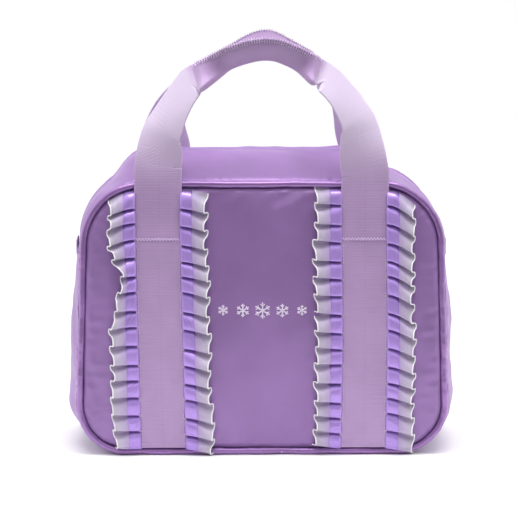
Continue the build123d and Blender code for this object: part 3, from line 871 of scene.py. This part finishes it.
def spline(points, count):
    """A smooth curve through points, evenly spaced."""
    p = np.asarray(points, float)
    p = np.concatenate([2 * p[:1] - p[1:2], p, 2 * p[-1:] - p[-2:-1]])
    t = np.linspace(0, 1, 24, endpoint=False)[:, None]
    runs = []
    for a, b, c, d in zip(p, p[1:], p[2:], p[3:]):
        bend, twist = 2 * a - 5 * b + 4 * c - d, 3 * b - a - 3 * c + d
        runs.append(0.5 * (2 * b + (c - a) * t + bend * t**2 + twist * t**3))
    line = np.concatenate(runs + [p[-2:-1]])
    for _ in range(30):
        line[1:-1] = (line[:-2] + 2 * line[1:-1] + line[2:]) / 4
    along = np.linalg.norm(np.diff(line, axis=0, prepend=line[:1]), axis=1).cumsum()
    at = np.linspace(0, along[-1], count)
    return np.stack([np.interp(at, along, line[:, k]) for k in range(line.shape[1])], 1)


def shoulder_progress(line, along, left, right):
    """Below 0 on the legs, 0 to 1 where the webbing folds over, above 1 along the grip."""
    ends = []
    for point, length, sign in ((left, 50 * MM, 1), (right, 34 * MM, -1)):
        start = along[np.argmin(np.linalg.norm(line - np.array(point) * MM, axis=1))]
        ends.append((along - start) * sign / length)
    return np.minimum(*ends)


def folded_section(progress, leg, cols):
    """The webbing's section at each station: distances inwards from its outer edge, and forwards."""
    inwards, forwards = [], []
    for p, l in zip(progress, leg):
        tilt = math.radians(42) * l
        width = 2 * WEB_HALF * (1 - 0.22 * l) * math.cos(tilt)
        rise = 0.85 * WEB_HALF * math.sin(tilt)
        t = np.linspace(0, 1, 41)
        q = width * t
        f = rise * (2 * t - 1) + 2.2 * MM * l * (1 - (2 * t - 1) ** 2)
        if p > 0:
            fold, early = smooth(p), smooth(p / 0.30)
            low = width + (21.0 * MM - width) * fold
            free = low + (-1.2 * MM - low) * early
            r = (2.9 * MM + 1.2 * MM * math.sin(math.pi * min(p, 1))) * smooth(p / 0.2)
            back_low = rise * (1 - fold) - 7.5 * MM * fold
            back_top = -rise * (1 - fold)
            a = np.linspace(0, 1, 16)[:, None]
            bow = 2.2 * MM * l * (1 - fold) * (1 - (2 * a - 1) ** 2)
            flat_back = np.hstack([a * (low - r), back_top + (back_low - back_top) * a + bow])
            turn = np.linspace(-math.pi / 2, math.pi / 2, 12)[1:-1, None]
            arc = np.hstack([low - r + r * np.cos(turn), back_low + r + r * np.sin(turn)])
            top = back_top + 2.2 * MM + 1.6 * MM * early
            puff = 1.2 * MM * np.sin(math.pi * a)
            front_q = low - r + (free - low + r) * a
            flat_front = np.hstack([front_q, back_low + 2 * r + (top - back_low - 2 * r) * a + puff])
            run = np.concatenate([flat_back, arc, flat_front])
            q, f = run[:, 0], run[:, 1]
        step = np.hypot(np.diff(q, prepend=q[:1]), np.diff(f, prepend=f[:1])).cumsum()
        at = np.linspace(0, step[-1], cols)
        inwards.append(np.interp(at, step, q))
        forwards.append(np.interp(at, step, f))
    return np.array(inwards), np.array(forwards)


# The outer edge of the front and the back handle, in millimetres, before it is made lower
ARCH = {
    -1: (
        (-128.3, 300), (-125.5, 318), (-119.5, 338), (-109.5, 354.5), (-97.5, 372), (-86.6, 387), (-78, 397),
        (-56, 408.5), (-38, 418.5), (-12, 427), (8, 428.5), (24, 425), (46, 414.5), (69, 401.5),
        (84, 388), (102, 365), (112.5, 350), (119, 333), (124, 314), (127.5, 296),
    ),
    1: (
        (-128.5, 292), (-124, 312), (-117, 330), (-107, 350), (-91, 372), (-74, 388), (-57, 399),
        (-43, 406.5), (-29, 414), (-12, 424), (2, 428.5), (14, 427.5), (27, 421), (40, 413.5), (54, 406),
        (65, 399), (77, 388), (92, 371), (104, 350), (113, 330), (121, 312), (127, 292),
    ),
}
ARCH_Z, ARCH_HEIGHT = 300, 0.965


def build_webbing(panel, name):
    """One length of webbing: up the left strap, round the folded grip and down the right strap."""
    face = panel.face
    side = np.array([(x, ARCH_Z + (z - ARCH_Z) * ARCH_HEIGHT) for x, z in ARCH[face]]) * MM
    edge = STRAP_X + WEB_HALF
    going_up = np.linspace(STRAP_LOW, side[0, 1] - 8 * MM, 24)
    going_down = np.linspace(side[-1, 1] - 8 * MM, STRAP_LOW, 24)
    path = np.concatenate([
        np.stack([0 * going_up - edge, going_up], 1), side, np.stack([0 * going_down + edge, going_down], 1)
    ])
    line = spline(path, 520)
    tangent = np.gradient(line, axis=0)
    tangent /= np.linalg.norm(tangent, axis=1, keepdims=True)
    inward = np.stack([tangent[:, 1], -tangent[:, 0]], 1)
    along = np.linalg.norm(np.diff(line, axis=0, prepend=line[:1]), axis=1).cumsum()
    progress = shoulder_progress(line, along, (-81.5, 390), (69.3, 397.5))
    leg = smooth((line[:, 1] - 296 * MM) / (88 * MM))
    cols = 61
    inwards, forwards = folded_section(progress, leg, cols)
    for _ in range(6):
        for grid in (inwards, forwards):
            grid[1:-1] = (grid[:-2] + 2 * grid[1:-1] + grid[2:]) / 4
    x = line[:, :1] + inward[:, :1] * inwards
    z = line[:, 1:] + inward[:, 1:] * inwards
    c = np.linspace(-WEB_HALF, WEB_HALF, cols)
    if face < 0:
        fixed = np.where(x < 0, strap_x(-1, z) + STRAP_X, strap_x(1, z) - STRAP_X)
        x = x + fixed * (1 - smooth((z - HINGE_Z) / (130 * MM)))
    lying = panel.under_strap(x, np.minimum(z, HINGE_Z)) + WEB_THICK / 2 + 0.25 * MM
    hang = -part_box("front_strap_left")[0].y - WEB_THICK / 2
    rest = 1 - smooth((z - (HINGE_Z - 6 * MM)) / (24 * MM))
    back = 11 * MM * smooth((z - 280 * MM) / (105 * MM)) - 6 * MM * smooth((z - 385 * MM) / (40 * MM))
    if face > 0:
        loose = smooth((z - 228 * MM) / (60 * MM))
        left_shift = 4 * MM - 9 * MM * smooth((z - 298 * MM) / (30 * MM))
        x = x + loose * np.where(x < 0, left_shift, 8 * MM) * (1 - smooth((z - 350 * MM) / (40 * MM)))
    wave = ripple(along[:, None], 0.5 * c[None], 55 * MM, 51 + face) * 0.35 * MM
    out = hang + (lying - hang) * rest + forwards - back + wave * smooth((z - 8 * MM) / (20 * MM))
    points = np.stack([x, face * out, z], axis=-1)
    uvs = np.stack(np.broadcast_arrays(c[None], along[:, None]), axis=-1)
    n = grid_normals(points) * WEB_THICK / 2
    webbing = shell(f"{name}_webbing", points - n, points + n, uvs, WEBBING)
    # masks for the painted highlight on the upright legs and the painted shade on the grip
    on_grip = np.broadcast_to(smooth(progress / 0.35)[:, None], z.shape)
    on_leg = smooth((z - 268 * MM) / (76 * MM)) * (1 - on_grip)
    for key, value in (("leg_highlight", on_leg), ("grip_shade", on_grip)):
        layer = webbing.data.attributes.new(key, "FLOAT", "POINT")
        layer.data.foreach_set("value", np.tile(value.ravel(), 2))
    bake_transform(webbing)
    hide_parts(f"{name}_strap_left", f"{name}_strap_right", f"{name}_handle")
    return points, along, progress


def build_overlock(name, points, along, progress):
    """The thread that closes the grip along its upper edge."""
    face = -1 if name == "front" else 1
    rows = np.where(progress > 0.32)[0]
    edge_back, edge_front, deep = points[rows, 0], points[rows, -1], points[rows, -8]
    count = int((along[rows[-1]] - along[rows[0]]) / (2.5 * MM))
    at = np.linspace(0, len(rows) - 1.001, count)
    i, share = at.astype(int), (at % 1)[:, None]
    back, front, low = (e[i] * (1 - share) + e[i + 1] * share for e in (edge_back, edge_front, deep))
    way = (front - low) / np.linalg.norm(front - low, axis=1, keepdims=True)
    lift = np.array([0, face * (WEB_THICK / 2 + 0.45 * MM), 0])
    path = []
    for k in range(count):
        path.append(front[k] - way[k] * 4.2 * MM + lift)
        path.append(front[k] + way[k] * 0.6 * MM + lift)
        path.append((front[k] + back[k]) / 2 + way[k] * 1.5 * MM)
        path.append(back[k] + way[k] * 0.4 * MM - lift)
        path.append((front[k] + back[k]) / 2 + way[k] * 1.6 * MM)
    thread = tube_piece(f"{name}_grip_overlock", path, 0.6 * MM, THREAD)
    register(thread, f"{name}_handle", "thread")


def build_strap_stitches(panel, name):
    """Small stitches down both edges of each strap, and the rows that the handle turns about."""
    face = panel.face
    centres, ways = [], []
    z = np.arange(STRAP_LOW + 4 * MM, HINGE_Z - 6 * MM, 3.4 * MM)
    for side in (-1, 1):
        middle = strap_x(side, z) if face < 0 else side * STRAP_X + 0 * z
        for edge in (-1, 1):
            x = middle + edge * (WEB_HALF - 2.6 * MM)
            out = panel.under_strap(x, z) + WEB_THICK + 0.35 * MM
            centres.append(np.stack([x, face * out, z], 1))
            ways.append(np.tile((0, 0, 1.0), (len(z), 1)))
    ups = np.tile((0, face, 0.0), (len(z) * 4, 1))
    edges = beads(f"{name}_strap_edge_stitches", np.concatenate(centres), np.concatenate(ways), ups,
                  (1.25 * MM, 0.28 * MM, 0.22 * MM), THREAD)
    register(edges, "bag_body", "thread")
    for side, which in ((-1, "left"), (1, "right")):
        middle = strap_x(side, HINGE_Z) if face < 0 else side * STRAP_X
        x = middle + np.arange(-WEB_HALF + 1.5 * MM, WEB_HALF - 1.5 * MM, 0.8 * MM)
        swing = 1.3 * MM * np.sin(np.arange(len(x)) * math.pi / 2)
        out = panel.under_strap(x, HINGE_Z + 0 * x) + WEB_THICK + 0.55 * MM
        row = np.stack([x, face * out, HINGE_Z + swing], 1)
        thread = tube_piece(f"{name}_hinge_stitches_{which}", row, 0.5 * MM, THREAD)
        register(thread, "bag_body", "thread", *([f"{name}_handle_stitching"] if side < 0 else []))


# ---- ruffles

# One pleat's section: along the strap in pleats, and forwards from 0 at the back to 1 at the front
STRAP_PLEAT = [
    (0.02, 0.02), (0.09, 0.30), (0.05, 0.70), (0.09, 0.96), (0.26, 1.00), (0.50, 0.97), (0.70, 0.86),
    (0.83, 0.62), (0.91, 0.32), (0.96, 0.05),
]
HEM_PLEAT = [
    (0.00, 0.02), (0.05, 0.30), (0.04, 0.70), (0.09, 0.95), (0.24, 1.00), (0.42, 0.96), (0.57, 0.80),
    (0.65, 0.48), (0.70, 0.16), (0.84, 0.00),
]
# How far the left outer ruffle reaches, by height, where it curls back on itself
CURL_Z = np.array([138, 150, 163, 176, 190, 206, 222]) * MM
CURL_REACH = (1.0, 0.74, 0.80, 0.60, 0.50, 0.84, 1.0)


def pleat_section(points, samples):
    """The section smoothed and sampled evenly round one pleat."""
    p = np.array(points)
    wrap = np.concatenate([p - (1, 0), p, p + (1, 0)])
    t = np.arange(len(wrap)) / len(p) - 1
    at = np.arange(samples) / samples
    knots = np.linspace(-0.5, 1.5, 400)
    line = np.stack([np.interp(knots, t, wrap[:, k]) for k in range(2)], 1)
    for _ in range(60):
        line[1:-1] = (line[:-2] + line[1:-1] + line[2:]) / 3
    return np.stack([np.interp(at, knots, line[:, k]) for k in range(2)], 1)


def soft_curve(at, places, values):
    """Values between given places, rounded over at the corners."""
    fine = np.linspace(places[0] - 30 * MM, places[-1] + 30 * MM, 300)
    line = np.interp(fine, places, values)
    for _ in range(60):
        line[1:-1] = (line[:-2] + 2 * line[1:-1] + line[2:]) / 4
    return np.interp(at, fine, line)


def build_ruffle(panel, side, way, name, top, seed, curl=False):
    """A pleated ruffle beside a strap: a satin band, a sheer band and a rolled hem."""
    rng = np.random.default_rng(seed)
    low, count, samples = 5.5 * MM, 15, 30
    pitch = rng.uniform(0.82, 1.18, count)
    pitch *= (top - low) / pitch.sum()
    start = low + np.concatenate([[0], pitch.cumsum()[:-1]])
    at_strap, at_hem = pleat_section(STRAP_PLEAT, samples), pleat_section(HEM_PLEAT, samples)
    u = np.linspace(0, 1, 25)[None]
    near = np.arange(count * samples) / samples - 0.5

    def each(low_value, high_value):
        values = rng.uniform(low_value, high_value, count)
        return np.interp(near, np.arange(count), values)[:, None]

    size, reach, lean = each(0.8, 1.15), each(0.93, 1.06), each(-0.5, 0.5)
    jog, droop = each(0.55, 1.25), each(0.4, 1.3)
    pleat = np.repeat(np.arange(count), samples)
    phase = np.tile(np.arange(samples), count)
    share = smooth((u - 0.30) / 0.6)
    zeta = at_strap[phase, 0][:, None] * (1 - share) + at_hem[phase, 0][:, None] * share
    eta = at_strap[phase, 1][:, None] * (1 - share) + at_hem[phase, 1][:, None] * share
    z = start[pleat][:, None] + pitch[pleat][:, None] * zeta
    z = z - way * (3.6 + 3.0 * lean) * MM * u**1.3 - droop * 1.6 * MM * u * eta
    width = (RUFFLE_W * reach + 1.6 * MM) * u
    if curl:
        left = soft_curve(z, CURL_Z, CURL_REACH)
        width = width * (1 + (left - 1) * u)
        size = size * (1 + 0.7 * (1 - left))
    x = strap_x(side, z) + way * (WEB_HALF - 1.6 * MM + width + jog * (0.45 - eta) * 4.0 * MM * u**2.5)
    past_corner = np.maximum(np.abs(x) - TOP_CENTRE[0], 0)
    crease = TOP_CENTRE[1] + np.sqrt(np.maximum((TOP_R - PANEL_INSET) ** 2 - past_corner**2, 0))
    z = low + (z - low) * np.minimum(crease / (top + 1 * MM), 1)
    deep = size * (4.6 * MM + 3.6 * MM * u)
    base = np.minimum(panel.at(x, np.clip(z, 8 * MM, BODY_TOP - 8 * MM)), PANEL_OUT + 5.0 * MM)
    out = base + 0.6 * MM + deep * eta * smooth((u + 0.14) / 0.24)
    out = out + (0.8 * MM * u * ripple(z, 0 * z, 34 * MM, seed + 5)).clip(-0.4 * MM, 2 * MM)
    points = np.stack([x, panel.face * out, z], axis=-1)
    cut = int(round(SATIN_SHARE * (u.size - 1)))
    steps = np.linalg.norm(np.diff(points, axis=0, prepend=points[:1]), axis=2)
    uvs = np.stack([np.broadcast_to(u * RUFFLE_W, z.shape), steps.cumsum(0)], axis=-1)
    bands = (
        ("satin", slice(0, cut + 1), 0.45 * MM, RUFFLE, "ruffle_satin"),
        ("organza", slice(cut, None), 0.28 * MM, ORGANZA, "organza"),
    )
    for band, cols, thick, material, slot in bands:
        # the fold attribute holds how far forward each point stands in its pleat; the ruffle materials paint
        # shade into the hollows from it
        fold = np.tile(eta[:, cols].ravel(), 2)
        piece = cloth_sheet(f"{name}_{band}_band", points[:, cols], thick, uvs[:, cols], material)
        piece.data.attributes.new("fold", "FLOAT", "POINT").data.foreach_set("value", fold)
        register(piece, "bag_body", slot, f"{name}_{band}")
    hem = tube_piece(f"{name}_rolled_hem", points[:, -1], 0.68 * MM, HEM)
    register(hem, "bag_body", "ruffle_cord", f"{name}_edge")


# ---- embroidery


def satin_bar(panel, start, end, width, high):
    """Points and faces of one bar of satin stitch lying on the panel."""
    start, end = np.array(start), np.array(end)
    length = np.linalg.norm(end - start)
    rows, cols = max(8, int(length / (0.22 * MM))), 7
    t = np.linspace(0, 1, rows)[:, None]
    c = np.linspace(-1, 1, cols)[None]
    way = (end - start) / length
    across = np.array([way[1], -way[0]])
    taper = np.minimum(1, np.minimum(t, 1 - t) * length / (0.5 * width) * 0.8 + 0.35)
    flat = start + (end - start) * t[..., None] + across * (c * taper * width / 2)[..., None]
    ribs = 0.10 * np.cos(2 * math.pi * t * length / (0.44 * MM))
    rise = high * (np.sqrt(np.maximum(1 - c**2, 0)) * (0.85 + ribs)) * taper
    out = panel.at(flat[..., 0], flat[..., 1]) + rise - 0.05 * MM
    return np.stack([flat[..., 0], panel.face * out, flat[..., 1]], -1)


def build_embroidery(panel):
    """Five snowflakes in a row, in raised satin stitch."""
    low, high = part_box("embroidery")
    middle_z = (low.z + high.z) / 2
    verts, faces = [], []
    for i, size in enumerate((11, 14, 17, 14, 11)):
        centre = np.array([20 * MM * (i - 2), middle_z])
        size = size * MM
        for k in range(6):
            a = math.radians(60 * k + 90)
            way = np.array([math.cos(a), math.sin(a)])
            bars = [(centre, centre + way * size / 2, 1.5 * MM)]
            root = centre + way * size * 0.27
            for turn in (-48, 48):
                b = a + math.radians(turn)
                bars.append((root, root + np.array([math.cos(b), math.sin(b)]) * size * 0.19, 1.2 * MM))
            for start, end, width in bars:
                grid = satin_bar(panel, start, end, width, 0.75 * MM)
                faces.append(grid_faces(*grid.shape[:2], first=sum(len(v) for v in verts)))
                verts.append(grid.reshape(-1, 3))
    piece = mesh_piece("snowflake_embroidery", np.concatenate(verts), np.concatenate(faces), None, MOTIF)
    register(piece, "bag_body", "embroidery_thread", "embroidery")


# ---- making


def build_cad_materials():
    """Materials of the CAD nodes that stay."""
    kept = {
        "zip_slider": METAL, "zip_pull": METAL, "base_board": BOARD,
        "front_piping_cord": CORD, "back_piping_cord": CORD,
    }
    for node, material in kept.items():
        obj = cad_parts[node]
        obj.data.materials.clear()
        obj.data.materials.append(material)


def build_stage():
    """Floor, world and lights."""
    s = Shader("studio_floor")
    where = s.node("SeparateXYZ", {0: s.node("TexCoord").outputs["Object"]})
    # painted shade: the floor turns dark grey out of sight in front, standing in for a dark room
    far = s.spread(where.outputs[1], FLOOR_DARK_Y, FLOOR_PALE_Y)
    s.set(Base_Color=s.mix(far, (0.20, 0.20, 0.21, 1), (0.96, 0.96, 0.96, 1)), Roughness=0.85)
    corners = [(x * FLOOR_HALF, y * FLOOR_HALF, 0) for x, y in ((-1, -1), (1, -1), (1, 1), (-1, 1))]
    floor = mesh_piece("floor", corners, [(0, 1, 2, 3)], None, s.material)
    world = bpy.data.worlds.new("studio")
    bpy.context.scene.world = world
    world.use_nodes = True
    tree = world.node_tree
    back = tree.nodes["Background"]
    where = tree.nodes.new("ShaderNodeSeparateXYZ")
    tree.links.new(tree.nodes.new("ShaderNodeTexCoord").outputs["Generated"], where.inputs[0])
    parts = []
    for axis, limits in ((1, (-0.25, 0.45, WORLD_FRONT, WORLD_BEHIND)), (2, (0.30, 0.75, 0.0, WORLD_TOP))):
        part = tree.nodes.new("ShaderNodeMapRange")
        tree.links.new(where.outputs[axis], part.inputs["Value"])
        for key, value in zip(("From Min", "From Max", "To Min", "To Max"), limits):
            part.inputs[key].default_value = value
        parts.append(part)
    total = tree.nodes.new("ShaderNodeMath")
    total.operation = "MAXIMUM"
    for part, socket in zip(parts, total.inputs):
        tree.links.new(part.outputs[0], socket)
    back.inputs["Color"].default_value = (1, 1, 1, 1)
    tree.links.new(total.outputs[0], back.inputs["Strength"])
    for name, place, size, watts in LIGHTS:
        data = bpy.data.lights.new(name, "AREA")
        data.shape, data.size, data.size_y, data.energy = "RECTANGLE", *size, watts
        lamp = bpy.data.objects.new(name, data)
        bpy.context.scene.collection.objects.link(lamp)
        lamp.location = place
        lamp.rotation_euler = (Vector(LIGHTS_AIM) - Vector(place)).to_track_quat("-Z", "Y").to_euler()
    bpy.context.scene.view_settings.view_transform = "Standard"


def build_camera():
    """The camera, looking along back from in front of the bag."""
    sideways, forwards = math.sin(CAMERA_AZIMUTH), -math.cos(CAMERA_AZIMUTH)
    level = math.cos(CAMERA_ELEVATION)
    back = Vector((sideways * level, forwards * level, math.sin(CAMERA_ELEVATION)))
    data = bpy.data.cameras.new("camera")
    camera = bpy.data.objects.new("camera", data)
    bpy.context.scene.collection.objects.link(camera)
    camera.location = Vector(CAMERA_AIM) + back * CAMERA_AWAY
    camera.rotation_euler = (-back).to_track_quat("-Z", "Y").to_euler()
    data.sensor_width = 36.0
    data.lens = data.sensor_width * CAMERA_AWAY / VIEW_WIDTH
    bpy.context.scene.camera = camera


build_camera()
build_stage()
build_cad_materials()
front, back = Panel(-1), Panel(1)
for panel, name in ((front, "front"), (back, "back")):
    build_panel(panel, name)
    build_piping(panel.face, name)
    build_overlock(name, *build_webbing(panel, name))
    build_strap_stitches(panel, name)
build_lower_gusset()
for face in (-1, 1):
    for which in ("corner_left", "flap", "corner_right"):
        build_top(face, which)
for way in (-1, 1):
    build_end_tab(way)
build_ruffle(front, -1, -1, "ruffle_outer_left", 273 * MM, 101, curl=True)
build_ruffle(front, -1, 1, "ruffle_inner_left", 274 * MM, 102)
build_ruffle(front, 1, -1, "ruffle_inner_right", 274 * MM, 103)
build_ruffle(front, 1, 1, "ruffle_outer_right", 273 * MM, 104)
build_embroidery(front)
